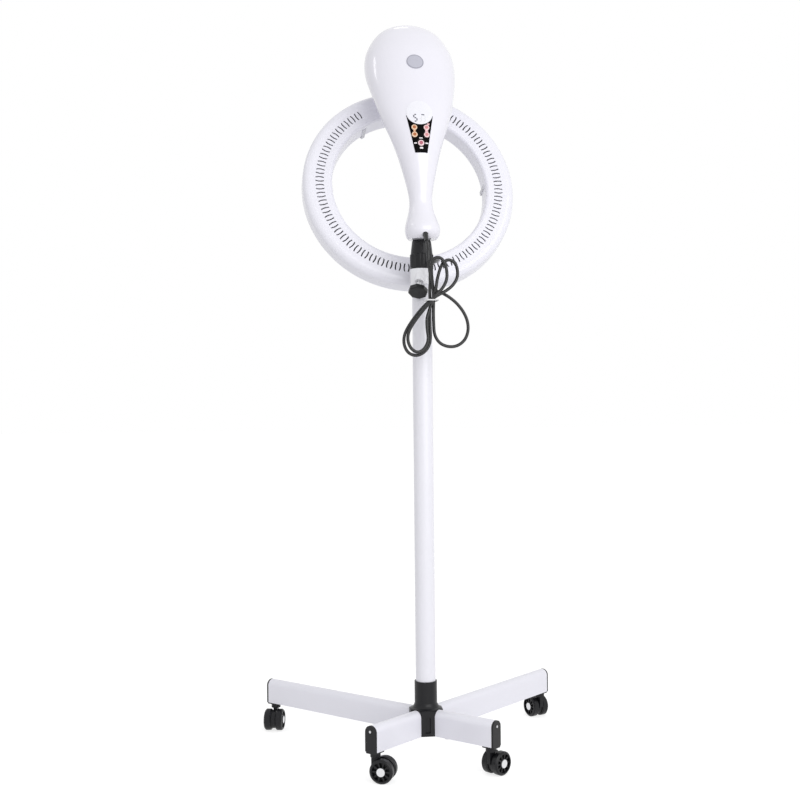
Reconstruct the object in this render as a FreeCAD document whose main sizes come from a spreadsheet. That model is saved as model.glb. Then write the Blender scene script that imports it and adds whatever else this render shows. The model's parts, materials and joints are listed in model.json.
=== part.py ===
import FreeCAD, Part
import math
import os
import re

import Sketcher
from FreeCAD import Placement, Rotation, Vector

# Hair colour processor: a ring heater that orbits the client's head, carried by a gourd-shaped
# head on a rolling stand. Millimetres. The origin is on the floor under the pole's axis, +Z is up,
# +Y points to the client and the operator stands on the -Y side.

DIMENSIONS = [
    # Base and pole
    ("base_turn", -3, "turn of the X base under the head, degrees"),
    ("leg_bottom", 55, "underside of the legs above the floor"),
    ("leg_height", 48, "leg tube, height"),
    ("leg_width", 25, "leg tube, width"),
    ("leg_wall", 1.5, "leg tube, wall"),
    ("long_leg_reach", 418, "pole axis to the end of a long leg"),
    ("short_leg_reach", 164, "pole axis to the end of a short leg"),
    ("hub_width", 62, "base hub across flats"),
    ("hub_sleeve_diameter", 43, "hub sleeve round the pole"),
    ("hub_sleeve_height", 100, "top of the hub sleeve above the legs' underside"),
    ("hub_skirt_height", 12, "flared skirt at the foot of the hub sleeve, height"),
    ("hub_skirt_radius", 30.5, "flared skirt, radius"),
    ("hub_floor", 16, "solid bottom of the hub under the pole"),
    ("hub_slot_depth", 4, "recess in the hub's faces between the legs"),
    ("spigot_length", 40, "hub spigot inside a leg"),
    ("leg_screw_diameter", 6, "screw that holds a leg"),
    ("pole_diameter", 38, "outer pole"),
    ("pole_wall", 1.6, "outer pole, wall"),
    ("pole_top", 938, "top of the outer pole above the floor"),
    # Leg ends and casters
    ("end_plate", 4, "leg end cap, plate thickness"),
    ("lip_thickness", 3, "lip of the end cap under the leg"),
    ("lip_length", 26, "lip of the end cap along the leg"),
    ("stem_setback", 14, "caster stem back from the leg's end"),
    ("stem_diameter", 11, "caster stem"),
    ("stem_height", 34, "caster stem above the leg's underside"),
    ("wheel_diameter", 44, "caster wheel"),
    ("wheel_width", 14.5, "caster wheel, width"),
    ("wheel_gap", 9, "gap between a caster's two wheels"),
    ("axle_diameter", 8, "caster axle"),
    ("axle_cap_diameter", 15.4, "round cap on the axle's end"),
    ("axle_cap_thickness", 2.6, "cap on the axle's end, thickness"),
    ("caster_trail", 15, "caster axle behind its stem"),
    # Mast and clamp
    ("mast_diameter", 25, "inner mast tube"),
    ("mast_wall", 1.5, "inner mast tube, wall"),
    ("mast_length", 526, "inner mast tube, length"),
    ("mast_sunk", 418, "mast below the pole's top when it is lowest"),
    ("bush_length", 50, "guide bush in the pole's mouth"),
    ("bush_flange", 3, "flange of the guide bush on the pole's top"),
    ("collar_length", 27, "clamp collar below the pole's top"),
    ("collar_wall", 3, "clamp collar, wall"),
    ("clamp_angle", 249, "direction of the clamp knob round the pole, degrees"),
    ("clamp_slope", 58, "clamp screw below level, degrees"),
    ("clamp_boss_diameter", 16, "boss of the collar round the screw"),
    ("clamp_boss_length", 9, "boss of the collar along the screw"),
    ("clamp_screw_diameter", 8, "clamp screw"),
    ("knob_distance", 36.2, "pole axis to the back of the clamp knob"),
    ("knob_diameter", 37, "clamp knob across corners"),
    ("knob_thickness", 10, "clamp knob, thickness"),
    # Head
    ("sleeve_diameter", 44.6, "fluted sleeve under the head"),
    ("sleeve_height", 55, "fluted sleeve, height"),
    ("sleeve_shoulder", 27, "straight part of the fluted sleeve"),
    ("sleeve_neck_diameter", 33.4, "top of the fluted sleeve"),
    ("flute_count", 14, "flutes round the sleeve"),
    ("flute_depth", 1.2, "depth of a flute"),
    ("socket_wall", 2.4, "mast socket of the head frame, wall"),
    ("socket_cap", 6, "closed top of the mast socket"),
    ("shell_wall", 3, "head shells, wall"),
    ("film_thickness", 0.8, "panel, display and badge on the head's skin"),
    ("glue_thickness", 0.1, "glue under the panel, display and badge"),
    ("parting_top", 125, "parting plane forward of the pole at the head's top"),
    ("parting_foot", -6, "parting plane forward of the pole at the foot"),
    ("panel_rise", 204, "middle of the control panel above the foot"),
    ("panel_back", -2.6, "skin of the head at the panel's middle, forward of the pole"),
    ("panel_lean", 12.6, "lean of the control panel, degrees"),
    ("panel_top_width", 51.8, "control panel, width at the top"),
    ("panel_bottom_width", 23.6, "control panel, width at the bottom"),
    ("panel_height", 77, "control panel, height"),
    ("display_radius", 25.6, "round display window above the panel"),
    ("display_rise", 44.5, "middle of the display above the panel's middle"),
    ("button_diameter", 11.2, "push buttons"),
    ("stop_button_diameter", 12.2, "lower push button"),
    ("button_spread", 23.4, "distance between the two button columns"),
    ("button_upper", 12.6, "upper buttons above the panel's middle"),
    ("button_lower", -2.2, "lower buttons above the panel's middle"),
    ("stop_button_place", -19.3, "lower push button above the panel's middle"),
    ("button_height", 1.4, "buttons proud of the panel's middle"),
    ("button_travel", 0.8, "travel of a push button"),
    ("board_depth", 13.4, "circuit board behind the head's skin"),
    ("board_width", 46, "circuit board, width"),
    ("board_height", 62, "circuit board, height"),
    ("board_thickness", 1.6, "circuit board, thickness"),
    ("badge_diameter", 34, "round badge"),
    ("badge_rise", 358, "middle of the badge above the foot"),
    ("badge_back", 53, "skin of the head at the badge, forward of the pole"),
    ("badge_lean", 23, "lean of the badge, degrees"),
    ("post_diameter", 9, "screw posts inside the shells"),
    ("shell_screw_diameter", 4, "screws between the shells"),
    ("gland_drop", 6, "cord exit above the foot's underside"),
    ("gland_back", 43, "cord exit behind the pole axis"),
    ("gland_slope", 50, "cord exit below level, degrees"),
    ("gland_length", 20, "cord gland outside the head"),
    ("gland_diameter", 11, "cord gland at the head"),
    ("cord_diameter", 6, "mains lead"),
    # Orbit drive
    ("orbit_forward", 125, "middle of the bulb forward of the pole"),
    ("orbit_rise", 353, "middle of the bulb above the foot"),
    ("orbit_tilt", 45, "orbit axis below level, degrees"),
    ("seat_distance", 42, "seat of the orbit hub along its axis"),
    ("seat_radius", 50, "seat of the orbit hub, radius"),
    ("hub_disc_radius", 46, "orbit hub, disc radius"),
    ("hub_disc_thickness", 8.5, "orbit hub, disc thickness"),
    ("hub_arm_radius", 24, "orbit hub, arm to the ring"),
    ("shaft_diameter", 16, "orbit shaft"),
    ("motor_diameter", 56, "gear motor"),
    ("motor_length", 45, "gear motor, length"),
    ("frame_plate", 5, "head frame, plate thickness"),
    ("frame_plate_width", 76, "head frame, plate width"),
    ("slip_ring_diameter", 36, "slip ring"),
    ("slip_ring_length", 24, "slip ring, length"),
    # Ring heater
    ("ring_forward", 147, "middle of the ring forward of the pole"),
    ("ring_drop", 229, "middle of the ring below the middle of the bulb"),
    ("ring_lean", 17, "lean of the ring from upright, degrees"),
    ("ring_outer_radius", 216, "ring, outer radius"),
    ("ring_inner_radius", 157, "ring, inner radius"),
    ("ring_half_depth", 22, "ring, half its depth"),
    ("ring_outer_round", 15, "rounding of the ring's rear outer edge"),
    ("ring_inner_round", 7, "rounding of the ring's rear inner edge"),
    ("ring_seam", -4, "seam between the ring's covers"),
    ("cover_wall", 2.5, "ring covers, wall"),
    ("slot_length", 17, "vent slot, length"),
    ("slot_width", 2.6, "vent slot, width"),
    ("slot_from_edge", 17, "vent slots from the ring's inner edge"),
    ("slot_pairs", 66, "pairs of vent slots in a full turn"),
    ("plain_stretch", 30, "stretch without slots each side of the ring's top, degrees"),
    ("ring_screw_hold", 10, "ring screws in the orbit hub's arm"),
    ("tube_diameter", 10, "quartz heater tube"),
    ("wire_diameter", 2.4, "wire of the guard"),
    # Fits
    ("running_clearance", 0.06, "radial clearance of turning and sliding fits"),
    ("seat_clearance", 0.02, "radial clearance of seated pieces"),
    ("body_gap", 0.3, "gap between faces of pieces that move past each other"),
    ("hole_clearance", 0.2, "radial clearance of screw holes"),
]

# Level sections of the head: rise above the foot, rear, front, half width.
HEAD_SECTIONS = [
    (0, -36, 20, 27),
    (7, -45, 23, 31.8),
    (19, -48, 24, 33.7),
    (34, -39.5, 25, 30.5),
    (66, -20, 25, 22.5),
    (110, -15, 40, 27.2),
    (151, -12, 56, 36.9),
    (188, -6, 72, 47.5),
    (221, 1, 86, 59.5),
    (252, 10, 102, 70.5),
    (292, 25, 134, 80.5),
    (334, 43, 172, 89.5),
    (366, 57, 190, 91),
    (392, 70, 191, 86.5),
    (414, 85, 185, 76),
    (431, 99, 171, 63),
    (443, 112, 158, 47),
    (449, 120, 150, 33),
    (452.8, 127, 143, 18),
    (454, 131, 139, 8),
]

# Corners of the mains lead's route, from the gland to the plug.
CORD_ROUTE = [
    (0, -67, 974), (-0.5, -71, 956), (2, -70.5, 936), (4, -70, 916), (2.2, -69.5, 895), (3, -69.5, 874),
    (2, -69.5, 852), (2, -69.7, 828), (3.2, -70, 807), (0.5, -70.2, 790.5), (-9.5, -70.6, 778),
    (-24.5, -71, 771.5), (-40, -71.5, 777), (-48, -72, 793), (-47, -72.5, 811), (-37.5, -73, 829),
    (-25.5, -74, 845.5), (-12.5, -77.5, 861.5), (1, -83, 874), (14, -84, 883), (30.5, -84, 891.5),
    (44, -83, 902), (52.8, -82, 916.5), (53, -81, 933), (48, -80, 945), (37.5, -79.5, 950.5),
    (26.7, -79.2, 946), (19.8, -79, 932), (14.8, -79, 913), (12, -79, 894), (6.2, -76.3, 874),
    (-0.5, -76.5, 856), (-5.5, -77, 839), (-4.5, -77.2, 820), (-2.2, -77.4, 804), (-5.5, -77.6, 791.5),
    (-14, -77.8, 781), (-24.5, -78, 777.8), (-35.5, -78.2, 785), (-41.5, -78.5, 799), (-40.5, -79, 814),
    (-33, -80, 829), (-20.5, -82.5, 846), (-8.5, -86, 861), (2.5, -89.5, 874), (14.5, -90.5, 887),
    (25, -90.5, 898.5), (31.5, -90, 914), (31, -89.5, 930.5), (26.8, -88.7, 944.5), (20.5, -87.8, 952),
    (11.8, -86.6, 953.2), (4.5, -85.4, 947.5), (3, -83.6, 935.5), (4.6, -80, 916), (8.5, -73, 895),
    (9.6, -69.5, 874), (8.8, -69.6, 852), (9.2, -69.5, 829), (10.2, -69.6, 811), (19.5, -70, 795.5),
    (36, -70.3, 788.5), (53.5, -70.6, 790), (67.5, -70.8, 800.5), (74.3, -71, 816.5),
    (74, -71.2, 834.5), (67, -71.4, 852), (55, -71.6, 868), (40.5, -71, 880.5), (27, -69, 888.5),
    (16.5, -66, 893), (8, -64, 898.5), (4.5, -62.8, 909), (4.5, -62, 926), (8, -56, 942),
    (17, -44, 952), (27, -27, 956), (32, -5, 957), (28, 16, 957.5), (18, 32, 954), (8, 40, 945.5),
]
CORD_END = (4, 41, 934)
TIE_HEIGHT = 874

LONG_LEG_NAMES = ["front_left", "front_right"]
SHORT_LEG_NAMES = ["rear_left", "rear_right"]
LEG_ANGLES = {"front_left": 135, "front_right": 45, "rear_left": 225, "rear_right": 315}
CASTER_HEADINGS = {"front_left": -106, "front_right": 110, "rear_left": -24, "rear_right": 36}

UP = Vector(0, 0, 1)
SIDEWAYS = Vector(1, 0, 0)

doc = FreeCAD.newDocument("HairColourProcessor")
dims = doc.addObject("Spreadsheet::Sheet", "dims")
for row, (name, value, meaning) in enumerate(DIMENSIONS, start=1):
    dims.set(f"A{row}", meaning)
    dims.set(f"B{row}", str(value))
    dims.setAlias(f"B{row}", name)
doc.recompute()

ALIASES = {name for name, _, _ in DIMENSIONS}
NODES = []


def bound(text):
    """An expression with each dimension's name pointed at its cell."""
    return re.sub(r"[a-z]\w*", lambda m: "dims." + m.group(0) if m.group(0) in ALIASES else m.group(0), text)


def val(text):
    """The present value of an expression over the sheet."""
    return float(dims.evalExpression(bound(text)))


def node(obj, name):
    """Marks an object as a finished piece."""
    obj.Label = name
    NODES.append(obj)
    return obj


def at(x=0, y=0, z=0, turn=None):
    """A placement from expressions or numbers."""
    place = [val(v) if isinstance(v, str) else v for v in (x, y, z)]
    return Placement(Vector(*place), turn or Rotation())


def primitive(kind, name, place, **sizes):
    """A Part primitive whose sizes are bound to the sheet."""
    obj = doc.addObject("Part::" + kind, name)
    for prop, text in sizes.items():
        if isinstance(text, str):
            obj.setExpression(prop, bound(text))
        else:
            setattr(obj, prop, text)
    obj.Placement = place
    return obj


def cylinder(name, place, radius, height):
    return primitive("Cylinder", name, place, Radius=radius, Height=height)


def box(name, place, length, width, height):
    return primitive("Box", name, place, Length=length, Width=width, Height=height)


def fused(name, *shapes):
    obj = doc.addObject("Part::MultiFuse", name)
    obj.Shapes = list(shapes)
    obj.Refine = True
    return obj


def cut(name, base, *tools):
    """The base without the tools."""
    tool = tools[0]
    if len(tools) > 1:
        tool = doc.addObject("Part::MultiFuse", name + "_tools")
        tool.Shapes = list(tools)
    obj = doc.addObject("Part::Cut", name)
    obj.Base = base
    obj.Tool = tool
    return obj


def group(name, *shapes):
    """Separate solids that share one node."""
    obj = doc.addObject("Part::Compound", name)
    obj.Links = list(shapes)
    return obj


def feature(name, shape, place=None):
    obj = doc.addObject("Part::Feature", name)
    obj.Shape = shape
    if place:
        obj.Placement = place
    return obj


def body_sketch(body, name, role, points, lift="0"):
    """A closed outline on one of the body's own planes, each corner bound to the sheet."""
    sketch = body.newObject("Sketcher::SketchObject", name)
    plane = next(f for f in body.Origin.OriginFeatures if f.Role == role)
    sketch.AttachmentSupport = [(plane, "")]
    sketch.MapMode = "FlatFace"
    sketch.setExpression(".AttachmentOffset.Base.z", bound(lift))
    corners = [Vector(val(x), val(y), 0) for x, y in points]
    count = len(corners)
    for i in range(count):
        sketch.addGeometry(Part.LineSegment(corners[i], corners[(i + 1) % count]), False)
    for i in range(count):
        sketch.addConstraint(Sketcher.Constraint("Coincident", i, 2, (i + 1) % count, 1))
    for i, (x, y) in enumerate(points):
        for kind, text, now in (("DistanceX", x, corners[i].x), ("DistanceY", y, corners[i].y)):
            number = sketch.addConstraint(Sketcher.Constraint(kind, -1, 1, i, 1, now))
            sketch.setExpression(f"Constraints[{number}]", bound(text))
    return sketch


def revolved(name, points, place=None):
    """A turned body: its outline in (radius, height), about its own Z axis."""
    body = doc.addObject("PartDesign::Body", name)
    sketch = body_sketch(body, name + "_outline", "XZ_Plane", points)
    turn = body.newObject("PartDesign::Revolution", name + "_turn")
    turn.Profile = sketch
    turn.ReferenceAxis = (sketch, ["V_Axis"])
    turn.Angle = 360
    body.Tip = turn
    body.Placement = place or Placement()
    return body


def circle_edges(shape, circles):
    """Names of the edges that are circles of these (radius, height) values."""
    found = []
    for number, edge in enumerate(shape.Edges, start=1):
        if not isinstance(edge.Curve, Part.Circle):
            continue
        for radius, height in circles:
            if abs(edge.Curve.Radius - radius) < 0.01 and abs(edge.Curve.Center.z - height) < 0.01:
                found.append(f"Edge{number}")
    return found


def filleted(body, circles, radius):
    """Rounds the body's circular edges at these (radius, height) expressions."""
    doc.recompute()
    base = body.Tip
    names = circle_edges(base.Shape, [(val(r), val(h)) for r, h in circles])
    fillet = body.newObject("PartDesign::Fillet", body.Name + "_round")
    fillet.Base = (base, names)
    fillet.setExpression("Radius", bound(radius))
    body.Tip = fillet
    return body


# --------------------------------------------------------------------------------------
# Places that several pieces share

FOOT = val("pole_top + bush_flange + body_gap + sleeve_height")
BULB = Vector(0, val("orbit_forward"), FOOT + val("orbit_rise"))
ORBIT_TURN = Rotation(SIDEWAYS, -(90 + val("orbit_tilt")))
ORBIT = Placement(BULB, ORBIT_TURN)
RING_MIDDLE = Vector(0, val("ring_forward"), BULB.z - val("ring_drop"))
RING_TURN = Rotation(SIDEWAYS, 90 - val("ring_lean"))
RING = Placement(RING_MIDDLE, RING_TURN)
PANEL_TURN = Rotation(SIDEWAYS, 90 - val("panel_lean"))
PANEL = Placement(Vector(0, val("panel_back"), FOOT + val("panel_rise")), PANEL_TURN)
BADGE_TURN = Rotation(SIDEWAYS, 90 - val("badge_lean"))
BADGE = Placement(Vector(0, val("badge_back"), FOOT + val("badge_rise")), BADGE_TURN)


def within(frame, x=0, y=0, z=0, turn=None):
    """A placement given inside another one."""
    return frame.multiply(at(x, y, z, turn))


def leg_frame(corner):
    """Frame of a leg: X runs out along it, the origin is on the floor under the pole."""
    return Placement(Vector(), Rotation(UP, LEG_ANGLES[corner] + val("base_turn")))


def leg_reach(corner):
    return "long_leg_reach" if corner in LONG_LEG_NAMES else "short_leg_reach"


def caster_frame(corner):
    """Frame of a caster: the stem is its Z axis, the axle lies towards +X."""
    stem = leg_frame(corner).multVec(Vector(val(leg_reach(corner) + " - stem_setback"), 0, 0))
    return Placement(stem, Rotation(UP, CASTER_HEADINGS[corner]))


# --------------------------------------------------------------------------------------
# Base


def arch_bar(name, place, start, end, inset, lift):
    """A bar of the leg's section, flat below and half-round above, along X."""
    half = f"leg_width / 2 - {inset}"
    length = f"{end} - ({start})"
    low = f"leg_bottom + {lift}"
    straight = f"leg_height - leg_width / 2 - {lift}"
    lower = box(name + "_lower", within(place, start, f"-({half})", low), length, f"2 * ({half})", straight)
    along = Rotation(Vector(0, 1, 0), 90)
    top = "leg_bottom + leg_height - leg_width / 2"
    upper = cylinder(name + "_upper", within(place, start, 0, top, along), half, length)
    return fused(name, lower, upper)


def make_hub():
    seat = "leg_bottom + hub_floor"
    core = primitive(
        "Prism",
        "hub_core",
        at(0, 0, "leg_bottom", Rotation(UP, 22.5 + val("base_turn"))),
        Polygon=8,
        Circumradius="hub_width / 2 / cos(22.5)",
        Height="leg_height - 1",
    )
    low = "leg_bottom + leg_height - 1.5"
    slim = "hub_sleeve_diameter / 2"
    flare = [
        (slim + " - 1", low),
        ("hub_skirt_radius", low),
        ("hub_skirt_radius", low + " + 1.8"),
        (slim + " + 4.2", low + " + 0.35 * hub_skirt_height"),
        (slim + " + 1.6", low + " + 0.62 * hub_skirt_height"),
        (slim, low + " + hub_skirt_height"),
        (slim + " - 1", low + " + hub_skirt_height"),
    ]
    skirt = revolved("hub_skirt", flare)
    sleeve = cylinder("hub_sleeve", at(0, 0, seat), "hub_sleeve_diameter / 2", "hub_sleeve_height - hub_floor")
    solids = [core, skirt, sleeve]
    holes = [cylinder("hub_bore", at(0, 0, seat), "pole_diameter / 2 + seat_clearance", "hub_sleeve_height")]
    for corner in LEG_ANGLES:
        frame = leg_frame(corner)
        width = "leg_width - 2 * leg_wall - 2 * hole_clearance"
        solids.append(
            box(
                f"spigot_{corner}",
                within(frame, "hub_width / 2 - 3", "-(leg_width / 2 - leg_wall - hole_clearance)",
                       "leg_bottom + leg_wall + hole_clearance"),
                "spigot_length + 3",
                width,
                "leg_height - leg_width / 2 - leg_wall - 2 * hole_clearance",
            )
        )
        holes.append(
            cylinder(
                f"spigot_hole_{corner}",
                within(frame, "hub_width / 2 + spigot_length / 2", 0, "leg_bottom"),
                "leg_screw_diameter / 2 + seat_clearance",
                "leg_height / 2",
            )
        )
    for quarter in range(4):
        frame = Placement(Vector(), Rotation(UP, 90 * quarter + val("base_turn")))
        slot = within(frame, "hub_width / 2 - hub_slot_depth", "-5", "leg_bottom + 6")
        holes.append(box(f"hub_slot_{quarter}", slot, "hub_slot_depth + 1", "10", "leg_height - 18"))
    node(cut("hub", fused("hub_solid", *solids), *holes), "base_hub")


def make_leg(corner):
    frame = leg_frame(corner)
    end = leg_reach(corner) + " - end_plate"
    outer = arch_bar(f"{corner}_tube", frame, "hub_width / 2", end, "0", "0")
    inner = arch_bar(f"{corner}_bore", frame, "hub_width / 2 - 1", end + " + 1", "leg_wall", "leg_wall")
    screw_hole = cylinder(
        f"{corner}_screw_hole",
        within(frame, "hub_width / 2 + spigot_length / 2", 0, "leg_bottom - 1"),
        "leg_screw_diameter / 2 + hole_clearance",
        "leg_wall + 2",
    )
    stem_hole = cylinder(
        f"{corner}_stem_hole",
        within(frame, leg_reach(corner) + " - stem_setback", 0, "leg_bottom - 1"),
        "stem_diameter / 2 + 1.2",
        "leg_wall + 2",
    )
    node(cut(f"{corner}_leg_cut", outer, inner, screw_hole, stem_hole), f"{corner}_leg")


def make_end_cap(corner):
    """End cap of a leg: outside plate, plug inside the tube and lip under it."""
    frame = leg_frame(corner)
    reach = leg_reach(corner)
    plate = arch_bar(f"{corner}_plate", frame, reach + " - end_plate", reach, "0", "0")
    fit = "leg_wall + hole_clearance"
    plug = box(
        f"{corner}_plug",
        within(frame, reach + " - lip_length", f"-(leg_width / 2 - ({fit}))", f"leg_bottom + {fit}"),
        "lip_length - end_plate + 1",
        f"leg_width - 2 * ({fit})",
        "stem_height",
    )
    lip = box(
        f"{corner}_lip",
        within(frame, reach + " - lip_length", "-(leg_width / 2 - 2)", "leg_bottom - lip_thickness"),
        "lip_length",
        "leg_width - 4",
        "lip_thickness",
    )
    collar = cylinder(
        f"{corner}_stem_collar",
        within(frame, reach + " - stem_setback", 0, "leg_bottom - lip_thickness"),
        "stem_diameter / 2 + 1",
        f"lip_thickness + {fit} + 1",
    )
    bore = cylinder(
        f"{corner}_stem_bore",
        within(frame, reach + " - stem_setback", 0, "leg_bottom - lip_thickness - 1"),
        "stem_diameter / 2 + running_clearance",
        "stem_height + lip_thickness + 1 + body_gap",
    )
    return cut(f"{corner}_end_cap", fused(f"{corner}_end_cap_solid", plate, plug, lip, collar), bore)


def make_base_screws():
    screws = []
    for corner in LEG_ANGLES:
        frame = within(leg_frame(corner), "hub_width / 2 + spigot_length / 2", 0, 0)
        head = cylinder(f"{corner}_screw_head", within(frame, 0, 0, "leg_bottom - 3.5"), "leg_screw_diameter - 0.5", "3.5")
        shank = cylinder(f"{corner}_screw_shank", within(frame, 0, 0, "leg_bottom - 1"), "leg_screw_diameter / 2", "16")
        screws.append(fused(f"{corner}_screw", head, shank))
    node(group("leg_screws", *screws), "base_screws")


def make_pole():
    inner = "pole_diameter / 2 - pole_wall"
    outer = "pole_diameter / 2"
    low = "leg_bottom + hub_floor"
    tube = revolved("pole_tube", [(inner, low), (outer, low), (outer, "pole_top"), (inner, "pole_top")])
    hole = cylinder("pole_clamp_hole", CLAMP, "clamp_screw_diameter / 2 + hole_clearance", "knob_distance")
    node(cut("pole_cut", tube, hole), "pole")


# --------------------------------------------------------------------------------------
# Clamp, guide bush and mast

CLAMP_OUT = Vector(math.cos(math.radians(val("clamp_angle"))), math.sin(math.radians(val("clamp_angle"))), 0)
CLAMP_SLOPE = math.radians(val("clamp_slope"))
CLAMP_DIRECTION = CLAMP_OUT * math.cos(CLAMP_SLOPE) - UP * math.sin(CLAMP_SLOPE)
CLAMP_TIP_RADIUS = val("mast_diameter / 2 + body_gap")
CLAMP_TIP = CLAMP_OUT * CLAMP_TIP_RADIUS + UP * val("pole_top - 1")
CLAMP_TURN = Rotation(UP, CLAMP_DIRECTION)
CLAMP = Placement(CLAMP_TIP, CLAMP_TURN)
TIP_START = val("clamp_screw_diameter / 2") * math.tan(CLAMP_SLOPE)
KNOB_BACK = (val("knob_distance") - CLAMP_TIP_RADIUS) / math.cos(CLAMP_SLOPE)
COLLAR_OUTLET = (val("pole_diameter / 2 + collar_wall") - CLAMP_TIP_RADIUS) / math.cos(CLAMP_SLOPE)


def make_collar():
    """One moulding: the collar outside the pole, the guide bush inside it and a rim between."""
    bore = "mast_diameter / 2 + running_clearance"
    inside = "pole_diameter / 2 - pole_wall - seat_clearance"
    outside = "pole_diameter / 2 + seat_clearance"
    outer = "pole_diameter / 2 + collar_wall"
    outline = [
        (bore, "pole_top - bush_length"),
        (inside, "pole_top - bush_length"),
        (inside, "pole_top"),
        (outside, "pole_top"),
        (outside, "pole_top - collar_length"),
        (outer, "pole_top - collar_length"),
        (outer, "pole_top + bush_flange"),
        (bore, "pole_top + bush_flange"),
    ]
    ring = revolved("collar_ring", outline)
    boss = cylinder("collar_boss", CLAMP, "clamp_boss_diameter / 2", str(COLLAR_OUTLET) + " + clamp_boss_length")
    room = cylinder("collar_boss_room", at(0, 0, "pole_top - 60"), outside, "120")
    cap = cylinder("collar_boss_top", at(0, 0, "pole_top + bush_flange"), outer + " + 20", "30")
    hole = cylinder("collar_hole", CLAMP, "clamp_screw_diameter / 2 + running_clearance", "knob_distance * 2")
    outside_boss = cut("collar_boss_cut", boss, room, cap)
    node(cut("collar_cut", fused("collar_solid", ring, outside_boss), hole), "clamp_collar")


def make_clamp_knob():
    knob = primitive(
        "Prism",
        "knob_octagon",
        within(CLAMP, 0, 0, KNOB_BACK, Rotation(UP, 22.5)),
        Polygon=8,
        Circumradius="knob_diameter / 2",
        Height="knob_thickness",
    )
    rims = doc.addObject("Part::Chamfer", "knob_edges")
    rims.Base = knob
    doc.recompute()
    rims.Edges = [
        (number, 1.4, 1.4)
        for number, edge in enumerate(knob.Shape.Edges, start=1)
        if abs((edge.Vertexes[0].Point - edge.Vertexes[1].Point).dot(CLAMP_DIRECTION)) < 0.01
    ]
    neck = cylinder("knob_neck", within(CLAMP, 0, 0, KNOB_BACK - 2.5), "clamp_screw_diameter", "3.5")
    hole = cylinder("knob_hole", within(CLAMP, 0, 0, KNOB_BACK - 5), "clamp_screw_diameter / 2 + seat_clearance",
                    "knob_thickness + 2")
    node(cut("knob_cut", fused("knob_solid", rims, neck), hole), "clamp_knob")
    length = KNOB_BACK - 3 + val("knob_thickness") - TIP_START
    screw = cylinder("knob_screw", within(CLAMP, 0, 0, TIP_START), "clamp_screw_diameter / 2", str(length))
    node(screw, "clamp_screw")


def make_mast():
    """The inner tube, with a stop ring at its foot that runs inside the pole."""
    low = "pole_top - mast_sunk"
    high = low + " + mast_length"
    inner = "mast_diameter / 2 - mast_wall"
    outer = "mast_diameter / 2"
    stop = "pole_diameter / 2 - pole_wall - running_clearance"
    outline = [(inner, low), (stop, low), (stop, low + " + 12"), (outer, low + " + 12"), (outer, high), (inner, high)]
    node(revolved("mast", outline), "mast_tube")


# --------------------------------------------------------------------------------------
# Casters


def make_caster(corner):
    frame = caster_frame(corner)
    flange_low = "wheel_diameter + 0.6"
    flange_top = "leg_bottom - lip_thickness - 0.6"
    side = Rotation(SIDEWAYS, -90)
    cheek = "wheel_gap / 2 - body_gap"
    web = cylinder(
        f"{corner}_web",
        within(frame, "caster_trail", f"-({cheek})", "wheel_diameter / 2", side),
        "wheel_diameter / 2 - 4",
        f"2 * ({cheek})",
    )
    neck = box(
        f"{corner}_neck",
        within(frame, "-7", f"-({cheek})", "wheel_diameter / 2"),
        "14",
        f"2 * ({cheek})",
        "wheel_diameter / 2 + 1",
    )
    flange = cylinder(f"{corner}_flange", within(frame, 0, 0, flange_low), "stem_diameter / 2 + 4",
                      f"{flange_top} - ({flange_low})")
    axle_bore = cylinder(
        f"{corner}_axle_bore",
        within(frame, "caster_trail", "-20", "wheel_diameter / 2", side),
        "axle_diameter / 2 + seat_clearance",
        "40",
    )
    spigot_low = "wheel_diameter - 14"
    spigot_bore = cylinder(f"{corner}_spigot_bore", within(frame, 0, 0, spigot_low), "3 + seat_clearance", "30")
    stem_bore = cylinder(f"{corner}_socket_bore", within(frame, 0, 0, "wheel_diameter + 2"),
                         "stem_diameter / 2 + seat_clearance", "10")
    hood = cut(f"{corner}_hood_cut", fused(f"{corner}_hood_solid", web, neck, flange), axle_bore, spigot_bore, stem_bore)
    node(hood, f"{corner}_caster_hood")

    spigot = cylinder(f"{corner}_spigot", within(frame, 0, 0, spigot_low), "3", "20")
    stem = cylinder(f"{corner}_stem", within(frame, 0, 0, "wheel_diameter + 2"), "stem_diameter / 2",
                    "leg_bottom + stem_height - wheel_diameter - 2")
    axle = cylinder(
        f"{corner}_axle",
        within(frame, "caster_trail", "-(wheel_gap / 2 + wheel_width)", "wheel_diameter / 2", side),
        "axle_diameter / 2",
        "wheel_gap + 2 * wheel_width",
    )
    caps = []
    for side_name, sign in (("left", 1), ("right", -1)):
        inner_face = f"{sign} * (wheel_gap / 2 + wheel_width - 2 + body_gap)"
        turn = Rotation(SIDEWAYS, -90 * sign)
        place = within(frame, "caster_trail", inner_face, "wheel_diameter / 2", turn)
        caps.append(cylinder(f"{corner}_{side_name}_cap", place, "axle_cap_diameter / 2", "axle_cap_thickness"))
    axle_solid = fused(f"{corner}_axle_solid", axle, *caps)
    node(group(f"{corner}_steel", fused(f"{corner}_stem_solid", spigot, stem), axle_solid), f"{corner}_caster_axle")

    for side_name, sign in (("left", 1), ("right", -1)):
        place = within(frame, "caster_trail", f"{sign} * wheel_gap / 2", "wheel_diameter / 2",
                       Rotation(SIDEWAYS, -90 * sign))
        make_wheel(f"{corner}_wheel_{side_name}", place)


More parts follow.
